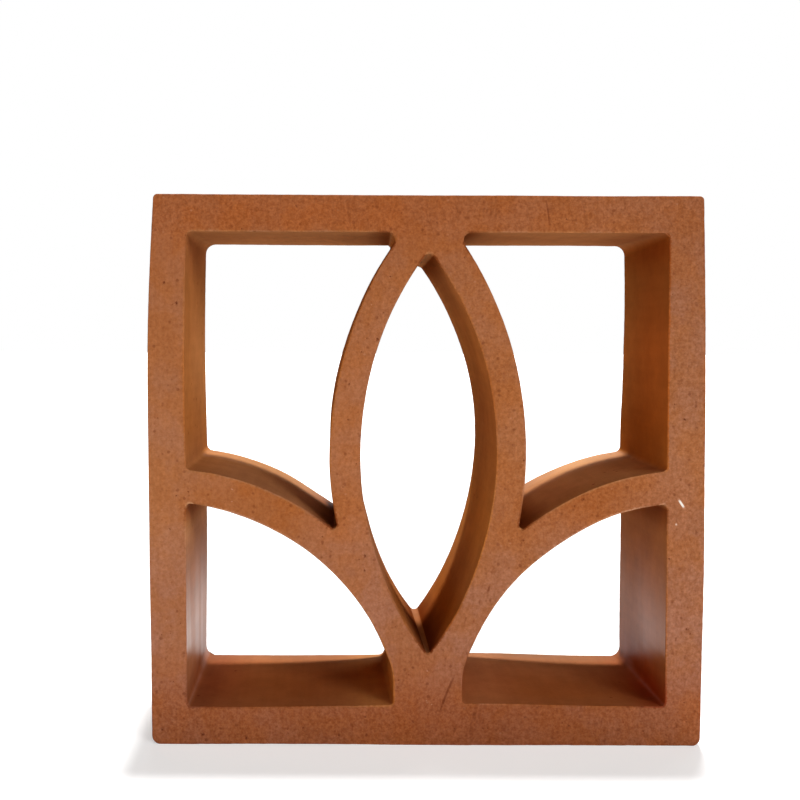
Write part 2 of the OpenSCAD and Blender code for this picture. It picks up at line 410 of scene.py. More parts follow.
# Where drying and firing moved the clay: each bump's middle and reach (x, y, z) and push (x, z),
# all in millimetres
WARPS = (
    # Outside of the two walls
    ((101, 0, 0), (40, 200, 42), (-0.5, 0.0)),
    ((101, 0, 60), (16, 200, 50), (-0.25, 0.0)),
    ((-101, 0, 45), (16, 200, 34), (0.65, 0.0)),
    ((-101, 0, 150), (20, 200, 38), (-0.65, 0.0)),
    ((-101, 0, 90), (14, 200, 32), (0.3, 0.0)),
    # Left wall's inner edge at the front, then at the back
    ((-88, -30, 140), (7, 30, 42), (-1.3, 0.0)),
    ((-88, -30, 50), (7, 30, 28), (-0.9, 0.0)),
    ((-87, 30, 165), (16, 35, 36), (-0.3, 0.0)),
    # Right wall's inner edge at the back, foot to top
    ((87, 30, 40), (16, 35, 34), (-0.55, 0.0)),
    ((87, 30, 112), (16, 35, 12), (-0.6, 0.0)),
    ((87, 30, 166), (16, 35, 18), (0.65, 0.0)),
    # Bottom ledges, front left, front right and back right
    ((-80, -30, 14), (34, 35, 8), (0.0, -0.8)),
    ((20, -30, 14), (20, 35, 8), (0.0, 0.6)),
    ((26, 30, 14), (24, 35, 10), (0.0, 1.0)),
    # Petals and their forks from the ribs, at the front and at the back
    ((-64, -30, 82), (22, 40, 14), (0.0, -0.45)),
    ((68, -30, 84), (10, 30, 10), (0.0, 0.3)),
    ((50, -30, 74), (12, 30, 12), (0.1, -0.3)),
    ((-42, 30, 84), (8, 30, 8), (0.0, -0.9)),
    ((-36, -30, 100), (5, 25, 12), (-0.45, 0.0)),
    ((-86, 30, 98), (12, 30, 12), (0.3, 0.3)),
    ((86, 30, 100), (14, 30, 12), (-0.4, 0.35)),
    # Stem, where it opens into the petals
    ((16, -30, 34), (10, 35, 14), (0.7, 0.0)),
    ((-16, -30, 34), (8, 35, 6), (-0.3, 0.0)),
    # Leaf and its ribs
    ((0, -30, 120), (34, 35, 60), (0.2, 0.0)),
    ((24, 30, 120), (14, 35, 20), (0.5, 0.0)),
    ((-24, 30, 158), (14, 35, 28), (0.75, -0.1)),
    ((-9, 30, 46), (8, 30, 9), (-0.4, 0.0)),
    ((-21, 30, 76), (6, 30, 7), (0.45, 0.0)),
    # Underside of the top bar at the back
    ((0, 30, 186), (70, 35, 8), (0.0, -0.3)),
)


def bumps(points, rows):
    """What a table's rows give at each point: the sum of each row's change times
    exp(-(d / reach)^2 / 2), d being the distance from its middle along each axis."""
    total = np.zeros((len(points), len(rows[0][2])))
    for middle, reach, change in rows:
        away = (points / MM - middle) / reach
        total += np.exp(-(away**2).sum(1) / 2)[:, None] * change
    return total


def firing_warp(points):
    """Push (x, z) of the warps at each point. Nothing moves up or down on the bottom bed."""
    push = bumps(points, WARPS) * MM
    push[:, 1] *= smooth(0, 8 * MM, points[:, 2])
    return push


# Where the cut faces are lighter or darker: middle and reach (x, y, z) in millimetres, and the change
# of red, green and blue
FACE_TONES = (
    # Petals, then the leaf's ribs
    ((-60, -30, 87), (22, 10, 12), (-0.05, -0.22, -0.5)),
    ((58, -30, 88), (24, 10, 12), (-0.05, -0.2, -0.4)),
    ((-28, -30, 104), (10, 10, 34), (0.05, 0.0, -0.05)),
    ((28, -30, 110), (10, 10, 34), (0.02, -0.05, -0.2)),
    # Bottom bar under the stem, then the top bar
    ((22, -30, 6), (22, 10, 8), (-0.1, -0.15, -0.2)),
    ((-4, -30, 8), (14, 10, 10), (0.06, 0.02, -0.05)),
    ((-45, -30, 194), (46, 10, 9), (0.02, -0.05, -0.14)),
    ((72, -30, 194), (22, 10, 9), (0.02, 0.08, 0.2)),
    # Side walls
    ((-96, -30, 80), (9, 10, 14), (0.04, 0.08, 0.1)),
    ((94, -30, 28), (10, 10, 12), (0.0, 0.05, 0.15)),
    ((-95, -30, 26), (10, 10, 14), (0.0, 0.05, 0.15)),
    ((94, -30, 165), (10, 10, 34), (-0.05, 0.0, 0.15)),
)
# Painted light and shade on the walls, in the same columns: lit back rims, shaded wall tops, dark
# nooks
WALL_PAINTED_LIGHT = (
    # Left wall from the foot up, then the right wall
    ((-87, 0, 17), (8, 60, 7), (-0.25, -0.25, -0.2)),
    ((-87, 0, 73), (8, 40, 8), (0.05, 0.1, 0.05)),
    ((-87, 0, 112), (8, 60, 12), (0.05, -0.05, -0.3)),
    ((-87, 0, 140), (8, 60, 14), (0.25, 0.3, 0.15)),
    ((-87, 0, 166), (8, 60, 10), (0.05, 0.05, -0.1)),
    ((87, -12, 16), (7, 24, 8), (-0.2, -0.6, -0.6)),
    ((87, 0, 48), (8, 60, 14), (0.12, 0.08, 0.0)),
    ((87, 0, 112), (8, 60, 12), (-0.05, -0.25, -0.45)),
    ((87, 0, 142), (8, 60, 14), (0.2, 0.0, -0.05)),
    ((87, 0, 168), (10, 60, 12), (-0.2, -0.25, -0.2)),
    # Front and back part of the left wall, its upper corner, and back part and top of the right wall
    ((-87, -26, 138), (8, 16, 20), (-0.12, -0.22, -0.35)),
    ((-87, 24, 140), (8, 14, 18), (0.1, 0.14, 0.08)),
    ((-87, 0, 81), (8, 60, 5), (0.3, 0.45, 0.35)),
    ((87, 25, 150), (8, 14, 30), (0.18, 0.35, 0.5)),
    ((87, 0, 182), (12, 60, 5), (-0.2, -0.35, -0.45)),
    # Front part of the top bar's underside, left and right
    ((-52, -26, 187), (34, 10, 5), (-0.15, -0.15, -0.15)),
    ((52, -26, 187), (34, 10, 5), (-0.05, -0.05, -0.05)),
    # Left bottom ledge: front part, outer end and back edge
    ((-50, -5, 14), (32, 22, 6), (-0.12, -0.25, -0.45)),
    ((-80, 0, 14), (8, 30, 5), (-0.1, -0.2, -0.15)),
    ((-50, 29, 14), (32, 6, 4), (-0.1, 0.05, 0.3)),
    # Left and right side of the stem's foot
    ((-17, 0, 18), (8, 60, 12), (0.4, 0.6, 0.4)),
    ((21, -5, 14), (8, 30, 5), (0.2, 0.3, 0.45)),
    # Right bottom ledge: front part and back edge
    ((50, -15, 14), (32, 14, 6), (-0.02, -0.15, -0.35)),
    ((50, 29, 14), (32, 7, 4), (-0.25, -0.05, 0.25)),
    # Notch at the leaf's foot: left side, right side and valley
    ((-10, -8, 45), (6, 34, 11), (-0.25, -0.45, -0.75)),
    ((8, -12, 39), (6, 22, 8), (-0.2, -0.35, -0.45)),
    ((0, -4, 33), (3, 18, 5), (-0.3, -0.35, -0.4)),
    # Leaf's right wall from its foot up
    ((12, 0, 45), (8, 60, 10), (-0.05, -0.2, -0.5)),
    ((23, 0, 76), (10, 60, 14), (0.3, 0.3, 0.0)),
    ((24, 0, 118), (8, 60, 14), (0.0, -0.05, -0.05)),
    ((17, 0, 148), (10, 60, 12), (0.1, 0.1, 0.0)),
    # Petals' backs, left, then right
    ((-52, 30, 96), (24, 12, 12), (0.1, 0.1, -0.35)),
    ((60, 0, 98), (20, 30, 12), (0.35, 0.4, 0.4)),
    ((62, 26, 101), (14, 9, 8), (0.4, 0.8, 1.0)),
)


class Skin:
    """The block's surface as arrays: points, faces, and what each point and face carries."""

    CUT, PRESSED = 0, 1  # material slots
    ARRIS_TURN = np.radians([0, 45, 90])  # turns of a wall's rows round the arris, t in wall()
    LAP = 0.15 * MM  # how far the walls' points reach over onto the cut faces
    DEPTHS = np.array([0.005, 0.06, 0.2, 0.4, 0.6, 0.8, 0.94, 0.995])  # rows between two arrises
    CUT_ROWS = len(ARRIS_TURN)  # rows of faces at each end of a wall that belong to the cut faces
    RIM_GAP = 0.62  # how near the points of a cut face's web come to its rims, in pitches
    MARK_GAP = 0.55  # and to the points of its pits and scratches
    PALE_SHARE = 0.13  # share of the seeded pits that are pale grains
    # Painted shade and light by the way a wall faces: change of red, green and blue on walls that
    # face left (painted shade), up, and down (painted light from below)
    FACING_LIGHT_AND_SHADE = ((0.02, -0.12, -0.52), (-0.04, 0.0, -0.04), (0.24, 0.48, 0.66))
    # Share of the left change that counts in the leaf, above the petals and under them
    LEFT_SHARES = (0.75, 1.0, 0.55)
    # Painted shade in the narrowest nooks of the openings
    NOOK = (0.48, 0.66, 0.78)  # how much less red, green and blue the narrowest nooks have
    # Height in millimetres, and how smooth a wall under a petal is there
    SHINE = (
        (19, 0.0), (22, 0.15), (25, 0.6), (28, 1.0), (38, 1.0),
        (46, 0.75), (52, 0.5), (61, 0.22), (70, 0.08), (80, 0.02),
    )
    LEAN = 0.36  # how much lower the shine's foot lies per length of depth
    RIGHT_SHINE = 0.6  # the right wall's shine, as a share of the left one's
    RIM_SHINE = 0.4  # on the petals' back rims
    CORNER_SHINE = 0.13  # along the walls' feet and the ledges' back edges

    def __init__(self, sizes, surface):
        self.sizes, self.surface = sizes, surface
        self.points, self.marks, self.polish, self.tints = [], [], [], []
        self.faces, self.slots = [], []
        self.count = 0

    def add_points(self, points, marks, polish, tints):
        """Adds points, and returns the number of the first."""
        first = self.count
        self.points.append(points)
        self.marks.append(marks)
        self.polish.append(polish)
        self.tints.append(tints)
        self.count += len(points)
        return first

    def edge_rounding(self, line, seed):
        """Rounding of a cut edge along a line: the arris, more where slow noise says it crumbled."""
        s = self.surface
        wide = noise(line, 7 * MM, seed)
        fine = noise(line, 1.6 * MM, seed + 1)
        worn = smooth(0.25, 0.8, wide) * (0.5 + 0.5 * fine)
        nick = smooth(0.72, 0.95, noise(line, 2.6 * MM, seed + 2))
        return s.arris * (1 + 0.3 * fine) + s.nibble * (0.45 * worn + nick)

    def wall(self, line, back_line, void, shiny, seed):
        """A wall: the front's closed line carried through the depth, changing evenly into the
        back's. Its profile starts on the cut face, turns a quarter circle, offset = -r (1 - sin t)
        and depth = r (1 - cos t), and runs straight between. The die's lines are noise drawn out
        along Y, and the wall's waves are noise of about 30 mm. Returns the numbers of its points
        on the front and on the back face."""
        s, depth = self.surface, self.sizes.depth
        normal = outward(line + back_line, void)
        front, back = self.edge_rounding(line, seed), self.edge_rounding(back_line, seed + 5)
        turn = self.ARRIS_TURN[:, None]
        drawn_in = np.concatenate([
            [-front - self.LAP],
            -front * (1 - np.sin(turn)),
            np.zeros((len(self.DEPTHS), len(line))),
            -back * (1 - np.sin(turn[::-1])),
            [-back - self.LAP],
        ])
        run = depth - front - back
        place = np.concatenate([
            [np.zeros(len(line))],
            front * (1 - np.cos(turn)),
            front + self.DEPTHS[:, None] * run,
            depth - back * (1 - np.cos(turn[::-1])),
            [np.full(len(line), depth)],
        ])
        rows = len(place)
        at = line + (place / depth)[..., None] * (back_line - line)
        spots = np.stack([at[..., 0], place - depth / 2, at[..., 1]], -1).reshape(-1, 3)
        lines = noise(spots, np.array([1.9, 160, 1.9]) * MM, seed + 7) * s.die_lines
        lines += noise(spots, np.array([5.0, 90, 5.0]) * MM, seed + 8) * s.die_lines
        waves = noise(spots, np.array([30, 24, 30]) * MM, seed + 9) * s.sag
        push = (drawn_in + (lines + waves).reshape(rows, -1))[..., None] * normal
        spots[:, [0, 2]] += push.reshape(-1, 2)
        normals = np.tile(normal, (rows, 1))
        # Painted light and shade on the walls: tints by the way they face, painted patches, and
        # painted shade in the nooks
        tints = self.painted_facing_light(spots, normals, void) * (1 + bumps(spots, WALL_PAINTED_LIGHT))
        tints *= np.tile(self.painted_nook_shade(line, normal, void), (rows, 1))
        polish = self.shine(spots, normals, shiny, void)
        first = self.add_points(spots, np.zeros(len(spots)), polish, tints)
        ring = np.arange(len(line))
        grid = first + ring + len(line) * np.arange(rows)[:, None]
        ahead = np.roll(grid, -1, 1)
        quads = np.stack([grid[:-1], ahead[:-1], ahead[1:], grid[1:]], -1)
        if not void:
            quads = quads[..., ::-1]
        self.faces.append(quads.reshape(-1, 4))
        slot = np.full(quads.shape[:2], self.PRESSED)
        slot[:self.CUT_ROWS] = slot[-self.CUT_ROWS:] = self.CUT
        self.slots.append(slot.ravel())
        return grid[0], grid[-1]

    def shine(self, spots, normals, shiny, void):
        """How smooth the die left the wall. Under the petals it is the frame's walls by height,
        with a foot that leans down towards the back, a tenth more at the front, a tenth less at
        the back and less on the right; and a line along the walls' feet and the ledges' back
        edges. In the other openings it is the back rim of the petals."""
        s, back = self.sizes, self.sizes.depth / 2
        x, y, z = spots.T
        across, up = np.abs(normals[:, 0]), normals[:, 1]
        if not shiny:
            rim = smooth(back - 18 * MM, back - 8 * MM, y)
            petal = smooth(0.6, 0.85, up) * smooth(s.bottom_bar, 60 * MM, z)
            return self.RIM_SHINE * rim * petal * float(void)
        wall_x = s.width / 2 - s.side_wall
        side = smooth(wall_x - 2.5 * MM, wall_x - 0.5 * MM, np.abs(x))
        level = z + self.LEAN * y * (1 - smooth(28 * MM, 45 * MM, z))
        part = np.where(x < 0, 1.0, self.RIGHT_SHINE) * (1 - 0.1 * y / back)
        wall = side * part * np.interp(level / MM, *zip(*self.SHINE))
        slant = smooth(0.4, 0.7, up) * smooth(0.4, 0.7, across)
        corner = slant * smooth(80 * MM, 84 * MM, np.abs(x))
        ledge = smooth(0.85, 0.95, up) * smooth(back - 10 * MM, back - 2 * MM, y)
        return wall + self.CORNER_SHINE * (ledge + corner)

    def painted_facing_light(self, spots, normals, void):
        """Painted light and shade on the openings' walls by the way they face, as a factor on red,
        green
        and blue: painted shade on walls that face left, painted light on walls that face down. It is
        1 + s left^2 L + up^2 U + down^2 D, where left, up and down are how far the wall faces that
        way, L, U and D the changes listed for walls that face left, up and down, and s the share of L
        that the place has."""
        if not void:
            return np.ones((len(spots), 3))
        x, _, z = spots.T
        outer, above = smooth(60 * MM, 84 * MM, np.abs(x)), smooth(86 * MM, 96 * MM, z)
        ways = [-normals[:, 0], normals[:, 1], -normals[:, 1]]
        facing = np.clip(ways, 0, 1).T ** 2
        leaf, upper, lower = self.LEFT_SHARES
        facing[:, 0] *= leaf + outer * (lower - leaf + (upper - lower) * above)
        return 1 + facing @ np.array(self.FACING_LIGHT_AND_SHADE)

    def painted_nook_shade(self, line, normal, void):
        """Painted shade in the nooks of an opening, as a factor on red, green and blue: 1 - k N, with
        k rising from 0 to 1 as the wall that faces a point comes from 13 mm to 2 mm near it."""
        if not void:
            return np.ones((len(line), 3))
        away = np.linalg.norm(line[:, None] - line[None], axis=2)
        faces = normal @ normal.T < -0.15
        gap = np.where(faces, away, 1.0).min(1)
        return 1 - (1 - smooth(2 * MM, 13 * MM, gap))[:, None] * np.array(self.NOOK)

    def pits(self, loops, count, draw):
        """Centres of a cut face's pits and pale grains, the first of the seeded tries that lie
        clear of the rims; their sizes, 0.3 + 0.5 u^3 millimetres with u even from 0 to 1; and
        which of them are pale."""
        s = self.sizes
        tries = draw.uniform(-0.5, 0.5, (count * 4, 2)) * pair(s.width, s.height)
        tries += pair(0, s.height / 2)
        size = (0.3 + 0.5 * draw.random(count * 4) ** 3) * MM
        room = clearance(tries, loops)
        fits = (room > size + 0.5 * MM) & in_clay(tries, loops)
        tries, size = tries[fits][:count], size[fits][:count]
        return tries, size, draw.random(len(size)) < self.PALE_SHARE

    def cut_face(self, rims, loops, y, pitch, pit_count, seed, marks_made):
        """A cut face: a flat web of points between the walls' rims, joined by Delaunay triangles.
        Its relief along Y is torn grain (fine noise) and the wire's drag lines (noise drawn out
        along Z), which fade within 2 mm of the rims, less the depth of the pits and marks."""
        draw = np.random.default_rng(seed)
        pits = self.pits(loops, pit_count, draw)
        web = jittered_web(self.sizes, pitch, draw)
        web = web[(clearance(web, loops) > self.RIM_GAP * pitch) & in_clay(web, loops)]
        marks = [pit_points(*pits, draw), *marks_made]
        spots, sunk, tint = (np.concatenate(values) for values in zip(*marks))
        web = web[clearance(web, [spots]) > self.MARK_GAP * pitch]
        inner = np.concatenate([web, spots])
        sunk = np.concatenate([np.zeros(len(web)), sunk])
        tint = np.concatenate([np.zeros(len(web)), tint])
        rim = np.concatenate(rims)
        known = np.concatenate(self.points)[rim][:, [0, 2]]
        triangles = fill(np.concatenate([known, inner]), ring_edges(rims), loops)
        out = -1 if y < 0 else 1
        fresh = np.stack([inner[:, 0], np.full(len(inner), y), inner[:, 1]], 1)
        inland = smooth(0.3 * MM, 2 * MM, clearance(inner, loops))
        fresh[:, 1] += out * (self.relief(fresh, seed) * inland - sunk)
        tints = 1 + bumps(fresh, FACE_TONES)
        first = self.add_points(fresh, tint, np.zeros(len(fresh)), tints)
        numbers = np.concatenate([rim, first + np.arange(len(fresh))])
        facing = triangles if out < 0 else triangles[:, ::-1]
        self.faces.append(numbers[facing])
        self.slots.append(np.full(len(facing), self.CUT))

    def relief(self, points, seed):
        """Height of a cut face: two sizes of torn grain, and drag lines."""
        s = self.surface
        grain = noise(points, 1.5 * MM, seed + 20) + 0.7 * noise(points, 3.2 * MM, seed + 21)
        drag = noise(points, np.array([1.7, 50, 26]) * MM, seed + 22)
        return s.grain * grain + s.sweep * drag

    def face_waves(self, points):
        """Push along Y that makes the two cut faces slowly wavy: noise of 28 mm times the square of
        the share of half the depth, so that the faces' rims go along."""
        s, share = self.surface, points[:, 1] / (self.sizes.depth / 2)
        flat = points * np.array([1, 0, 1])
        front, back = noise(flat, 28 * MM, s.seed + 23), noise(flat, 28 * MM, s.seed + 24)
        return 0.6 * s.sag * np.where(share < 0, front, back) * share**2

    def arrays(self):
        """All points, and all faces as one list of corners with the number of corners of each."""
        points = np.concatenate(self.points)
        counts = np.concatenate([np.full(len(f), f.shape[1]) for f in self.faces])
        corners = np.concatenate([f.ravel() for f in self.faces])
        return points, corners, counts


def clearance(points, loops):
    """Distance from each point to the nearest point of the lines."""
    targets = np.concatenate(loops)
    nearest = np.empty(len(points))
    for start in range(0, len(points), BATCH):
        part = points[start:start + BATCH]
        gap = (part[:, None, 0] - targets[:, 0]) ** 2 + (part[:, None, 1] - targets[:, 1]) ** 2
        nearest[start:start + BATCH] = gap.min(1)
    return np.sqrt(nearest)


def in_clay(points, loops):
    """Whether each point lies in the clay: a line to its right crosses the closed lines an odd
    number of times."""
    crossings = np.zeros(len(points), int)
    for line in loops:
        x0, z0 = line.T
        x1, z1 = np.roll(line, -1, 0).T
        for start in range(0, len(points), BATCH):
            x, z = points[start:start + BATCH].T[..., None]
            spans = (z0 > z) != (z1 > z)
            rise = np.where(z1 == z0, 1, z1 - z0)
            meets = x < x0 + (z - z0) * (x1 - x0) / rise
            crossings[start:start + BATCH] += (spans & meets).sum(1)
    return crossings % 2 == 1


def jittered_web(sizes, pitch, draw):
    """Rows of points with every second row half a step along, each point moved at random by up to
    0.28 of the pitch along each axis."""
    rise = pitch * math.sqrt(3) / 2
    reach = sizes.width / 2 + max(sizes.left_bow, sizes.right_bow)
    xs = np.arange(-reach, reach, pitch)
    zs = np.arange(0, sizes.height, rise)
    z, x = np.meshgrid(zs, xs, indexing="ij")
    x = x + (np.arange(len(zs)) % 2)[:, None] * pitch / 2
    web = np.stack([x.ravel(), z.ravel()], 1)
    return web + draw.uniform(-0.28, 0.28, web.shape) * pitch


def pit_points(centres, size, pale, draw):
    """Points of the pits, each an uneven ellipse with a rim, an inner ring at 0.62 of its size and
    a middle, sunk by half its size. Pale grains are not sunk. Returns places, depths and tints."""
    count = 7
    ring = np.arange(count) * math.tau / count
    radii = np.concatenate([np.full(count, 1.0), np.full(count, 0.62), [0.0]])
    depth = np.concatenate([np.zeros(count), np.full(count, 0.75), [1.0]])
    angle = np.concatenate([ring, ring + math.pi / count, [0.0]])
    turn = draw.uniform(0, math.tau, (len(centres), 1))
    slim = draw.uniform(0.55, 1.0, (len(centres), 1))
    ragged = 1 + 0.25 * draw.uniform(-1, 1, (len(centres), len(radii)))
    a = radii * ragged * np.cos(angle) * size[:, None]
    b = radii * ragged * np.sin(angle) * size[:, None] * slim
    x = centres[:, :1] + a * np.cos(turn) - b * np.sin(turn)
    z = centres[:, 1:] + a * np.sin(turn) + b * np.cos(turn)
    sunk = depth * np.where(pale, 0.0, 0.5)[:, None] * size[:, None]
    tint = (depth > 0) * np.where(pale, 0.5, -1.0)[:, None]
    return np.stack([x.ravel(), z.ravel()], 1), sunk.ravel(), tint.ravel()


def scratch(start, end, width, depth, tint, bow=0.0):
    """A groove with a flat bottom: four lines of points, the two inner ones sunk and tinted."""
    start, end = np.array(start) * MM, np.array(end) * MM
    run = end - start
    steps = max(4, round(np.linalg.norm(run) / (0.7 * MM)))
    t = np.linspace(0, 1, steps + 1)[:, None]
    across = pair(-run[1], run[0]) / np.linalg.norm(run)
    middle = start + t * run + 4 * t * (1 - t) * bow * MM * across
    fade = np.sqrt(np.sin(math.pi * np.clip(t, 0.02, 0.98)))[:, 0]
    side = width * MM / 2 * across
    spots = np.concatenate([middle + place * side for place in (-1, -0.4, 0.4, 1)])
    inner = np.array([0, 1, 1, 0])[:, None]
    return spots, (inner * (depth * MM * fade)).ravel(), (inner * (tint * fade)).ravel()


def ring_edges(rims):
    """Edges that close each rim, as pairs of places in one list of the rims' points."""
    edges, start = [], 0
    for numbers in rims:
        ring = start + np.arange(len(numbers))
        edges.append(np.stack([ring, np.roll(ring, -1)], 1))
        start += len(numbers)
    return np.concatenate(edges)


def fill(flat, edges, loops):
    """Delaunay triangles of the flat points that keep the edges, without those over an opening."""
    points, _, triangles, origin, _, _ = delaunay_2d_cdt(flat.tolist(), edges.tolist(), [], 1, 1e-9)
    if len(points) != len(flat):
        raise RuntimeError("the web of a cut face has points that coincide or edges that cross")
    number = np.array([o[0] for o in origin])
    triangles = number[np.array(triangles)]
    middle = flat[triangles].mean(1)
    triangles = triangles[in_clay(middle, loops)]
    a, b, c = flat[triangles].transpose(1, 0, 2)
    area = (b[:, 0] - a[:, 0]) * (c[:, 1] - a[:, 1]) - (b[:, 1] - a[:, 1]) * (c[:, 0] - a[:, 0])
    triangles[area < 0] = triangles[area < 0][:, ::-1]
    return triangles


class Nodes:
    """Short forms for adding nodes to a tree and joining them."""

    def __init__(self, tree):
        self.tree = tree
        tree.nodes.clear()

    def put(self, socket, value):
        """Joins an output to a socket, or sets the socket to a plain value."""
        if isinstance(value, bpy.types.NodeSocket):
            self.tree.links.new(value, socket)
        elif value is not None:
            socket.default_value = value

    def add(self, kind, inputs=None, **settings):
        """A new node with its settings and inputs."""
        node = self.tree.nodes.new("ShaderNode" + kind)
        for name, value in settings.items():
            setattr(node, name, value)
        for name, value in (inputs or {}).items():
            self.put(node.inputs[name], value)
        return node

    def math(self, operation, *values):
        """One number from others."""
        return self.add("Math", dict(enumerate(values)), operation=operation).outputs[0]

    def spread(self, value, low, high, to_low=0.0, to_high=1.0):
        """value carried smoothly from low..high to to_low..to_high."""
        inputs = {"Value": value, 1: low, 2: high, 3: to_low, 4: to_high}
        return self.add("MapRange", inputs, interpolation_type="SMOOTHSTEP").outputs["Result"]

    def mix(self, factor, first, second, blend="MIX"):
        """Two colours mixed."""
        node = self.add("Mix", data_type="RGBA", blend_type=blend)
        self.put(node.inputs["Factor"], factor)
        for name, value in (("A", first), ("B", second)):
            socket = next(i for i in node.inputs if i.name == name and i.type == "RGBA")
            self.put(socket, value)
        return next(o for o in node.outputs if o.type == "RGBA")

    def swing(self, value, edge, reach):
        """value, spread round 0.5, carried smoothly from edge..1 - edge to -reach..reach."""
        return self.spread(value, edge, 1 - edge, -reach, reach)

    def lit(self, tone, *lights, hue=0.5):
        """A colour made lighter by the sum of the lights, where 0 changes nothing."""
        value = lights[0]
        for light in (*lights[1:], 1.0):
            value = self.math("ADD", value, light)
        inputs = {"Hue": hue, "Value": value, "Color": tone}
        return self.add("HueSaturation", inputs).outputs["Color"]

    def tinted(self, tone, factor, low, high):
        """A colour multiplied by one tint where factor is 0 and by another where it is 1."""
        return self.mix(1.0, tone, self.mix(factor, rgba(low), rgba(high)), "MULTIPLY")

    def covered(self, tone, mask, strength, cover):
        """A colour covered by another where the mask is 1, as far as strength says."""
        return self.mix(self.math("MULTIPLY", mask, strength), tone, rgba(cover))

    def fired(self, tone):
        """A colour multiplied by the tint that the block's points carry: changes of tone on the cut
        faces, and painted light and shade on the walls.
        """
        tint = self.add("Attribute", attribute_name="tone_and_painted_light").outputs["Color"]
        return self.mix(1.0, tone, tint, "MULTIPLY")

    def carried(self, name):
        """A number that the block's points carry."""
        return self.add("Attribute", attribute_name=name).outputs["Fac"]

    def stretched(self, vector, x, y, z):
        """Coordinates scaled along each axis."""
        return self.add("Mapping", {"Vector": vector, "Scale": (x, y, z)}).outputs[0]

    def noise(self, vector, scale, detail=2.0, roughness=0.5):
        """Soft noise around 0.5."""
        inputs = {"Vector": vector, "Scale": scale, "Detail": detail, "Roughness": roughness}
        return self.add("TexNoise", inputs).outputs["Fac"]

    def dots(self, vector, scale, size, kept):
        """Seeded dots, 1 inside and 0 outside: the middles of the kept share of Voronoi cells."""
        cell = self.add("TexVoronoi", {"Vector": vector, "Scale": scale})
        near = self.spread(cell.outputs["Distance"], size, size * 0.4)
        chance = self.add("SeparateColor", {"Color": cell.outputs["Color"]}).outputs[0]
        chosen = self.math("LESS_THAN", chance, kept)
        return self.math("MULTIPLY", near, chosen)


def rgba(value):
    """Three numbers of a colour as four."""
    return (*value, 1.0)


def new_material(name):
    """A material without nodes, and the short forms that fill its tree."""
    material = bpy.data.materials.new(name)
    material.use_nodes = True
    return material, Nodes(material.node_tree)


def clay_tone(n, spot, colours, height):
    """Colour of the clay before any marks: five tones from the bed up, a little lighter and darker
    in slow patches."""
    up = n.add("SeparateXYZ", {"Vector": spot}).outputs["Z"]
    ramp = n.add("ValToRGB", {"Fac": n.math("DIVIDE", up, height)})
    stops = (
        (0.0, colours.foot), (0.08, colours.foot), (0.19, colours.low),
        (0.5, colours.middle), (0.82, colours.high), (0.97, colours.crown),
    )
    bands = ramp.color_ramp
    while len(bands.elements) < len(stops):
        bands.elements.new(0.5)
    for element, (place, tone) in zip(bands.elements, stops):
        element.position = place
        element.color = rgba(tone)
    value = n.spread(n.noise(spot, 70.0, 2.0), 0.3, 0.7, 0.975, 1.025)
    return n.add("HueSaturation", {"Value": value, "Color": ramp.outputs["Color"]}).outputs["Color"]


def cut_clay(sizes, colours):
    """The cut faces: patches of redder and greyer clay, torn grain, small dark pits, pale grains
    and faint upright drag lines. The wire tore the top and the bottom bar most, and elsewhere the
    right side more than the left."""
    material, n = new_material("cut_clay")
    spot = n.add("TexCoord").outputs["Object"]
    tone = clay_tone(n, spot, colours, sizes.height)
    patches = n.spread(n.noise(spot, 75.0, 3.0, 0.55), 0.38, 0.62)
    redder, greyer = (1.0, 0.96, 0.84), (0.99, 1.04, 1.16)
    tone = n.tinted(tone, patches, redder, greyer)
    place = n.add("SeparateXYZ", {"Vector": spot}).outputs
    torn = n.spread(place["X"], -0.1, 0.1, 0.5, 0.76)
    torn = n.math("MAXIMUM", torn, n.spread(place["Z"], 0.012, 0.028, 0.85, 0.5))
    torn = n.math("MAXIMUM", torn, n.spread(place["Z"], 0.18, 0.19, 0.5, 0.78))
    mottle = n.noise(spot, 640.0, 3.0, 0.65)
    dark, light = (0.81, 0.72, 0.64), (1.13, 1.17, 1.24)
    grainy = n.tinted(tone, n.spread(mottle, 0.32, 0.68), dark, light)
    # Tint of the points: changes of tone on the cut faces, painted light and shade on the walls'
    # edges
    tone = n.fired(n.mix(torn, tone, grainy))
    fine = n.noise(spot, 1300.0, 2.0, 0.6)
    drag = n.noise(n.stretched(spot, 900.0, 60.0, 55.0), 1.0, 2.0, 0.5)
    grain_light = n.math("MULTIPLY", torn, n.swing(fine, 0.25, 0.19))
    tone = n.lit(tone, grain_light, n.swing(drag, 0.3, 0.03))
    tone = n.covered(tone, n.dots(spot, 620.0, 0.36, 0.34), 0.22, colours.pit)
    specks = n.dots(spot, 360.0, 0.3, 0.24)
    tone = n.covered(tone, specks, 0.42, colours.pit)
    pale = n.dots(n.stretched(spot, 1.0, 1.0, 1.3), 300.0, 0.2, 0.06)
    tone = n.covered(tone, pale, 0.35, colours.grain)
    mark = n.carried("mark")
    # The mark runs from -1 at the bottom of a pit over 0.5 on a pale grain to 1 on lime
    tone = n.mix(n.spread(mark, -0.05, -1.0, 0.0, 0.65), tone, rgba(colours.pit))
    tone = n.mix(n.spread(mark, 0.05, 0.5, 0.0, 0.75), tone, rgba(colours.grain))
    tone = n.mix(n.spread(mark, 0.55, 0.9), tone, rgba(colours.lime))
    relief = n.math("ADD", n.math("MULTIPLY", mottle, 0.6), n.math("MULTIPLY", fine, 0.5))
    relief = n.math("SUBTRACT", relief, n.math("MULTIPLY", specks, 0.8))
    bump = n.add("Bump", {"Strength": 0.5, "Distance": 0.12 * MM, "Height": relief}).outputs["Normal"]
    shader = n.add("BsdfPrincipled", {
        "Base Color": tone,
        "Roughness": n.spread(fine, 0.3, 0.7, 0.82, 0.97),
        "Specular IOR Level": 0.06,
        "Normal": bump,
    })
    n.add("OutputMaterial", {"Surface": shader.outputs[0]})
    return material


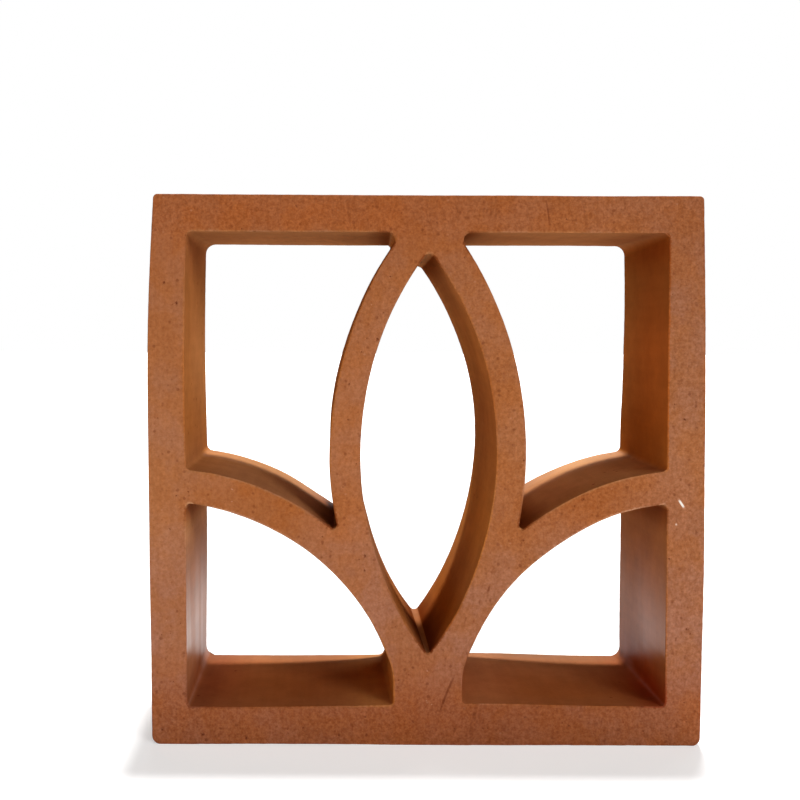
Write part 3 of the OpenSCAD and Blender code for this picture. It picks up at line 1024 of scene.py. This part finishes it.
def pressed_clay(sizes, colours):
    """The walls that the die pressed smooth: lines along the depth, a few pits, and a thin shine
    where the polish of the points says so."""
    material, n = new_material("pressed_clay")
    spot = n.add("TexCoord").outputs["Object"]
    tone = clay_tone(n, spot, colours, sizes.height)
    lines = n.noise(n.stretched(spot, 420.0, 16.0, 420.0), 1.0, 2.0, 0.5)
    blotch = n.noise(spot, 120.0, 3.0, 0.6)
    fine = n.noise(spot, 1100.0, 2.0, 0.6)
    lights = n.swing(lines, 0.3, 0.025), n.swing(blotch, 0.3, 0.06), n.swing(fine, 0.25, 0.03)
    # Tint of the points: painted light and shade on the walls
    tone = n.fired(n.lit(tone, *lights, hue=0.503))
    specks = n.dots(spot, 260.0, 0.22, 0.07)
    tone = n.covered(tone, specks, 0.6, colours.pit)
    relief = n.math("ADD", n.math("MULTIPLY", lines, 0.3), n.math("MULTIPLY", fine, 0.25))
    relief = n.math("SUBTRACT", relief, specks)
    bump = n.add("Bump", {"Strength": 0.35, "Distance": 0.1 * MM, "Height": relief}).outputs["Normal"]
    streaks = n.noise(n.stretched(spot, 30.0, 130.0, 8.0), 1.0, 2.0)
    shine = n.math("MULTIPLY", n.carried("polish"), n.spread(streaks, 0.32, 0.66, 0.68, 1.0))
    shader = n.add("BsdfPrincipled", {
        "Base Color": tone,
        "Roughness": 0.92,
        "Specular IOR Level": 0.0,
        "Coat Weight": n.math("MULTIPLY", shine, colours.bloom),
        "Coat Roughness": 0.38,
        "Coat IOR": 1.5,
        "Normal": bump,
    })
    n.add("OutputMaterial", {"Surface": shader.outputs[0]})
    return material


class CLAYBLOCK_OT_block(bpy.types.Operator):
    """Build the clay block over its solid: walls, cut faces and the two clay materials"""

    bl_idname = "clayblock.block"
    bl_label = "Build the block"

    # Marks that show on the front: start and end (x, z), width and depth in millimetres, tint and
    # bow in millimetres
    SCRATCHES = (
        ((42.3, 198.6), (43.8, 188.4), 1.0, 0.14, -0.75, 0.2),
        ((55.5, 199.2), (57.2, 189.0), 0.9, 0.08, -0.4, 0.0),
        ((9.9, 26.2), (4.0, 9.9), 1.25, 0.16, -0.85, -0.2),
        ((-8.2, 25.0), (-9.5, 20.8), 1.3, 0.06, -0.4, 0.0),
        ((17.2, 14.2), (14.8, 2.0), 1.2, 0.08, -0.45, 0.3),
        ((19.2, 14.0), (17.4, 6.0), 1.0, 0.05, -0.3, 0.2),
        ((-30.2, 199.0), (-29.0, 188.6), 0.9, 0.08, -0.4, 0.0),
        ((64.8, 12.6), (63.2, 6.0), 0.9, 0.08, -0.4, 0.0),
        ((22.4, 195.0), (22.3, 191.2), 1.2, 0.1, -0.5, 0.0),
        ((-1.4, 198.0), (-0.6, 184.0), 0.9, 0.05, -0.25, 0.1),
        ((22.4, 58.4), (21.5, 55.2), 1.1, 0.12, -0.8, 0.0),
        ((22.8, 53.8), (22.4, 51.8), 1.1, 0.1, -0.7, 0.0),
        ((18.6, 53.0), (18.4, 51.4), 1.1, 0.1, -0.6, 0.0),
        ((13.6, 47.0), (13.0, 44.2), 1.0, 0.1, -0.6, 0.0),
        ((16.4, 46.0), (16.2, 44.4), 1.0, 0.1, -0.5, 0.0),
        ((24.0, 66.4), (22.9, 61.2), 0.9, 0.06, -0.4, 0.0),
        ((35.4, 75.0), (33.8, 68.0), 0.8, 0.05, -0.3, 0.2),
        ((91.0, 39.8), (90.8, 38.0), 1.1, 0.1, -0.7, 0.0),
        ((95.8, 43.2), (95.4, 41.8), 1.0, 0.1, -0.6, 0.0),
        ((98.2, 78.8), (98.0, 76.6), 1.2, 0.12, -0.7, 0.0),
        ((91.6, 8.4), (91.2, 6.4), 1.2, 0.1, -0.7, 0.0),
        ((-98.6, 20.4), (-98.8, 18.4), 1.3, 0.1, -0.6, 0.0),
        ((-75.8, 6.6), (-74.4, 5.8), 1.3, 0.1, -0.7, 0.0),
    )
    # The same for specks of lime, which stand out a little
    LIME = (
        ((91.2, 90.0), (93.8, 86.2), 1.4, -0.05, 1.0),
        ((90.4, 81.2), (90.9, 80.0), 1.2, -0.03, 0.75),
    )

    def execute(self, context):
        sizes, surface = context.scene.clay_sizes, context.scene.clay_surface
        colours = context.scene.clay_colours
        skin = Skin(sizes, surface)
        middle = Drawing(sizes, surface.edge_pitch)
        middle.lines()
        front = Drawing(sizes, surface.edge_pitch, *surface.front_fillets, like=middle).lines()
        back = Drawing(sizes, surface.edge_pitch, *surface.back_fillets, like=middle).lines()
        rims = [
            skin.wall(line, back_line, void, low, surface.seed + 40 * index)
            for index, ((line, void, low), (back_line, _, _)) in enumerate(zip(front, back))
        ]
        front_loops, back_loops = ([line for line, _, _ in lines] for lines in (front, back))
        marks = [scratch(*mark) for mark in (*self.SCRATCHES, *self.LIME)]
        half = sizes.depth / 2
        skin.cut_face([f for f, _ in rims], front_loops, -half, surface.front_pitch,
                      surface.front_pits, surface.seed, marks)
        skin.cut_face([b for _, b in rims], back_loops, half, surface.back_pitch,
                      surface.back_pits, surface.seed + 1, [])
        piece = self.make(skin)
        piece.data.materials.append(cut_clay(sizes, colours))
        piece.data.materials.append(pressed_clay(sizes, colours))
        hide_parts(CAD_NODE)
        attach(piece, BODY)
        return {"FINISHED"}

    def make(self, skin):
        """Puts the arrays into one mesh object at the origin."""
        points, corners, counts = skin.arrays()
        points[:, 1] += skin.face_waves(points)
        points[:, [0, 2]] += firing_warp(points)
        points[:, 2] = np.maximum(points[:, 2], 0)
        mesh = bpy.data.meshes.new(PIECE)
        mesh.vertices.add(len(points))
        mesh.vertices.foreach_set("co", points.astype(np.float32).ravel())
        mesh.loops.add(len(corners))
        mesh.loops.foreach_set("vertex_index", corners.astype(np.int32))
        mesh.polygons.add(len(counts))
        starts = np.concatenate([[0], np.cumsum(counts)[:-1]])
        mesh.polygons.foreach_set("loop_start", starts.astype(np.int32))
        mesh.polygons.foreach_set("material_index", np.concatenate(skin.slots).astype(np.int32))
        mesh.update(calc_edges=True)
        if mesh.validate():
            raise RuntimeError("the block's mesh had faults")
        mesh.shade_smooth()
        for name, values in (("mark", skin.marks), ("polish", skin.polish)):
            layer = mesh.attributes.new(name, "FLOAT", "POINT")
            layer.data.foreach_set("value", np.concatenate(values).astype(np.float32))
        # Tint of each point: changes of tone on the cut faces, painted light and shade on the walls
        layer = mesh.attributes.new("tone_and_painted_light", "FLOAT_VECTOR", "POINT")
        layer.data.foreach_set("vector", np.concatenate(skin.tints).astype(np.float32).ravel())
        piece = bpy.data.objects.new(PIECE, mesh)
        bpy.context.scene.collection.objects.link(piece)
        return piece


def lamp(name, strength, degrees, direction, tint):
    """A far, soft lamp that shines from the direction (across, behind, up) with parallel light.
    strength 1 makes a white surface that faces it render white."""
    light = bpy.data.lights.new(name, "SUN")
    light.energy = strength * math.pi
    light.angle = math.radians(degrees)
    light.color = tint
    holder = bpy.data.objects.new(name, light)
    holder.rotation_euler = Vector(direction).to_track_quat("Z", "Y").to_euler()
    bpy.context.scene.collection.objects.link(holder)
    return holder


class CLAYBLOCK_OT_studio(bpy.types.Operator):
    """Build the studio: the white floor, the room's light, the lamps and the camera"""

    bl_idname = "clayblock.studio"
    bl_label = "Build the studio"

    WHITE, WARM = (1.0, 1.0, 1.0), (1.0, 0.8, 0.55)
    # Name, setting and its share, softness in degrees, direction (across, behind, up) and colour
    LAMPS = (
        ("key_lamp", "key", 1.0, 4.5, (0.04, 0.16, 1.0), WHITE),
        ("top_back_lamp", "above", 0.6, 15.0, (0.0, 0.45, 1.0), WHITE),
        ("top_front_lamp", "above", 0.4, 30.0, (0.0, -0.7, 1.0), WHITE),
        ("right_lamp", "right", 0.14, 25.0, (1.8, -1.0, 0.55), WHITE),
        ("right_front_lamp", "right", 0.64, 25.0, (0.8, -1.0, 0.55), WHITE),
        ("right_back_lamp", "right", 0.22, 30.0, (0.8, 1.0, 0.5), WHITE),
        ("left_lamp", "left", 1.0, 25.0, (-1.8, -1.0, 0.5), WARM),
    )

    def execute(self, context):
        settings = context.scene.clay_studio
        self.floor(settings.paper)
        self.room(context.scene)
        for name, setting, part, *rest in self.LAMPS:
            lamp(name, getattr(settings, setting) * part, *rest)
        self.camera(context.scene, settings)
        view = context.scene.view_settings
        view.view_transform = "Standard"
        return {"FINISHED"}

    @staticmethod
    def seen(n):
        """1 for what the camera, a mirror or glass sees, 0 for light that falls on a matt surface."""
        path = n.add("LightPath")
        seen = n.math("MAXIMUM", path.outputs["Is Camera Ray"], path.outputs["Is Glossy Ray"])
        return n.math("MAXIMUM", seen, path.outputs["Is Transmission Ray"])

    def floor(self, paleness):
        """A wide sheet of pale paper: a plain square, which whitens further away for the camera."""
        reach = 6.0
        corners = np.array([(-1, -1, 0), (1, -1, 0), (1, 1, 0), (-1, 1, 0)], float) * reach
        mesh = bpy.data.meshes.new("floor")
        mesh.from_pydata(corners.tolist(), [], [(0, 1, 2, 3)])
        floor = bpy.data.objects.new("floor", mesh)
        bpy.context.scene.collection.objects.link(floor)
        material, n = new_material("white_paper")
        spot = n.add("TexCoord").outputs["Object"]
        away = n.add("VectorMath", {0: spot}, operation="LENGTH").outputs["Value"]
        glow = n.math("MULTIPLY", self.seen(n), n.spread(away, 0.3, 0.9, 0.5, 1.0))
        paper = n.add("BsdfDiffuse", {"Color": rgba([paleness] * 3)})
        light = n.add("Emission", {"Color": rgba(self.WHITE), "Strength": glow})
        both = n.add("AddShader", {0: paper.outputs[0], 1: light.outputs[0]})
        n.add("OutputMaterial", {"Surface": both.outputs[0]})
        mesh.materials.append(material)

    def room(self, scene):
        """The room: white where it is seen, and dark for the light that falls on the block."""
        world = bpy.data.worlds.new("room")
        world.use_nodes = True
        scene.world = world
        n = Nodes(world.node_tree)
        light = n.add("Background", {"Color": rgba(self.WHITE), "Strength": self.seen(n)})
        n.add("OutputWorld", {"Surface": light.outputs[0]})

    def camera(self, scene, settings):
        """The camera: square to the front face, a little left of the block's middle and above it."""
        data = bpy.data.cameras.new("camera")
        data.sensor_width = 36.0
        data.lens = settings.lens
        data.shift_x, data.shift_y = settings.shift_x, settings.shift_y
        data.clip_start = 0.01
        camera = bpy.data.objects.new("camera", data)
        camera.location = (settings.camera_x, settings.camera_y, settings.camera_z)
        camera.rotation_euler = (math.pi / 2, settings.roll, 0.0)
        scene.collection.objects.link(camera)
        scene.camera = camera


class CLAYBLOCK_PT_panel(bpy.types.Panel):
    """Lists the steps in the sidebar"""

    bl_idname = "CLAYBLOCK_PT_panel"
    bl_label = "Clay Block"
    bl_space_type = "VIEW_3D"
    bl_region_type = "UI"
    bl_category = "Clay Block"

    def draw(self, context):
        for step in STEPS:
            self.layout.operator(step.bl_idname)


SETTINGS = {
    "clay_sizes": BlockSizes,
    "clay_surface": ClaySurface,
    "clay_colours": ClayColours,
    "clay_studio": StudioSettings,
}
STEPS = (CLAYBLOCK_OT_block, CLAYBLOCK_OT_studio)


def register():
    for group in SETTINGS.values():
        bpy.utils.register_class(group)
    for name, group in SETTINGS.items():
        setattr(bpy.types.Scene, name, bpy.props.PointerProperty(type=group))
    for kind in (*STEPS, CLAYBLOCK_PT_panel):
        bpy.utils.register_class(kind)


def unregister():
    for kind in reversed((*STEPS, CLAYBLOCK_PT_panel)):
        bpy.utils.unregister_class(kind)
    for name in SETTINGS:
        delattr(bpy.types.Scene, name)
    for group in reversed(SETTINGS.values()):
        bpy.utils.unregister_class(group)


def main():
    register()
    bpy.ops.clayblock.block()
    bpy.ops.clayblock.studio()


if __name__ == "__main__":
    main()
